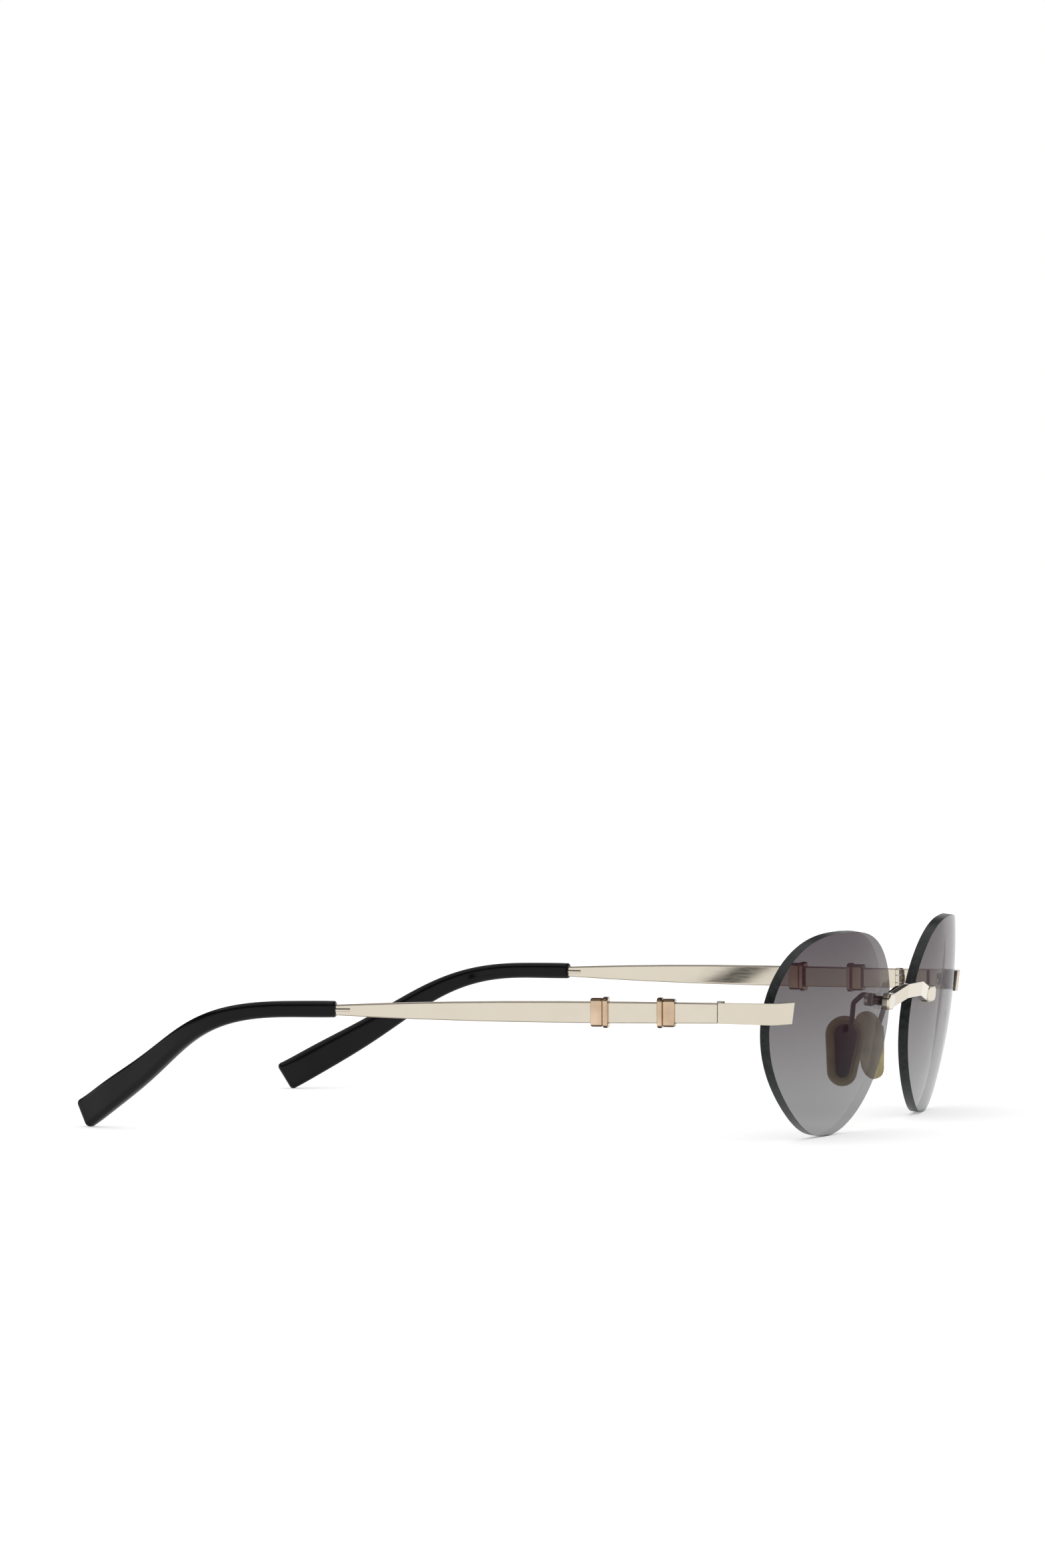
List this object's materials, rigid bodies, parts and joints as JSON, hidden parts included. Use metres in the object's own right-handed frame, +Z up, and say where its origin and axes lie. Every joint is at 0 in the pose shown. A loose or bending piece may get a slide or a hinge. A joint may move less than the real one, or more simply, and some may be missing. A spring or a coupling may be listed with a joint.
{
  "type": "rimless eyeglasses",
  "caption": "Rimless eyeglasses with smoke gradient oval lenses, a bridge and end pieces screwed to the lenses, folding flat metal temples with acetate tips, and rocking nose pads.",
  "frame": {"origin": "centre of the footprint, on the surface that the lens bottoms and the temple tips rest on", "axes": "+Z up; the lens fronts face -Y and the temples run to +Y; +X is the wearer's left"},
  "size_m": [0.151, 0.1611, 0.0414],
  "materials": {
    "frame_metal": "polished pale gold plate",
    "trim_metal": "polished rose gold plate",
    "dark_metal": "polished dark gold wire",
    "lens_tint": "smoke gradient, darker at the top",
    "tip_acetate": "polished black acetate",
    "pad_silicone": "clear yellowish silicone",
    "clear_plastic": "clear moulded"
  },
  "bodies": {
    "front": {"bridge": "frame_metal", "lens_left": "lens_tint", "lens_sleeves_left": "clear_plastic", "lens_washers_left": "clear_plastic", "lens_nuts_left": "frame_metal", "end_piece_left": "frame_metal", "hinge_front_leaf_left": "frame_metal", "hinge_screw_left": "frame_metal", "pad_arm_left": "dark_metal", "lens_right": "lens_tint", "lens_sleeves_right": "clear_plastic", "lens_washers_right": "clear_plastic", "lens_nuts_right": "frame_metal", "end_piece_right": "frame_metal", "hinge_front_leaf_right": "frame_metal", "hinge_screw_right": "frame_metal", "pad_arm_right": "dark_metal"},
    "left_temple": {"temple_left": "frame_metal", "temple_tip_left": "tip_acetate", "hinge_temple_leaf_left": "frame_metal", "trim_collars_left": "trim_metal"},
    "right_temple": {"temple_right": "frame_metal", "temple_tip_right": "tip_acetate", "hinge_temple_leaf_right": "frame_metal", "trim_collars_right": "trim_metal"},
    "left_nose_pad": {"nose_pad_left": "pad_silicone", "pad_insert_left": "dark_metal", "pad_screw_left": "dark_metal"},
    "right_nose_pad": {"nose_pad_right": "pad_silicone", "pad_insert_right": "dark_metal", "pad_screw_right": "dark_metal"}
  },
  "joints": [
    {"name": "left_temple_fold", "type": "hinge", "parent": "front", "child": "left_temple", "pos_m": [0.0629, -0.0586, 0.0262], "axis": [0, 0, 1], "range_deg": [0, 76]},
    {"name": "right_temple_fold", "type": "hinge", "parent": "front", "child": "right_temple", "pos_m": [-0.0629, -0.0586, 0.0262], "axis": [0, 0, -1], "range_deg": [0, 94]},
    {"name": "left_nose_pad_rock", "type": "hinge", "parent": "front", "child": "left_nose_pad", "pos_m": [0.01035, -0.06901, 0.01824], "axis": [0.5371, 0.8274, 0.1642], "range_deg": [-8, 8]},
    {"name": "right_nose_pad_rock", "type": "hinge", "parent": "front", "child": "right_nose_pad", "pos_m": [-0.01035, -0.06901, 0.01824], "axis": [-0.5371, 0.8274, 0.1642], "range_deg": [-8, 8]}
  ]
}
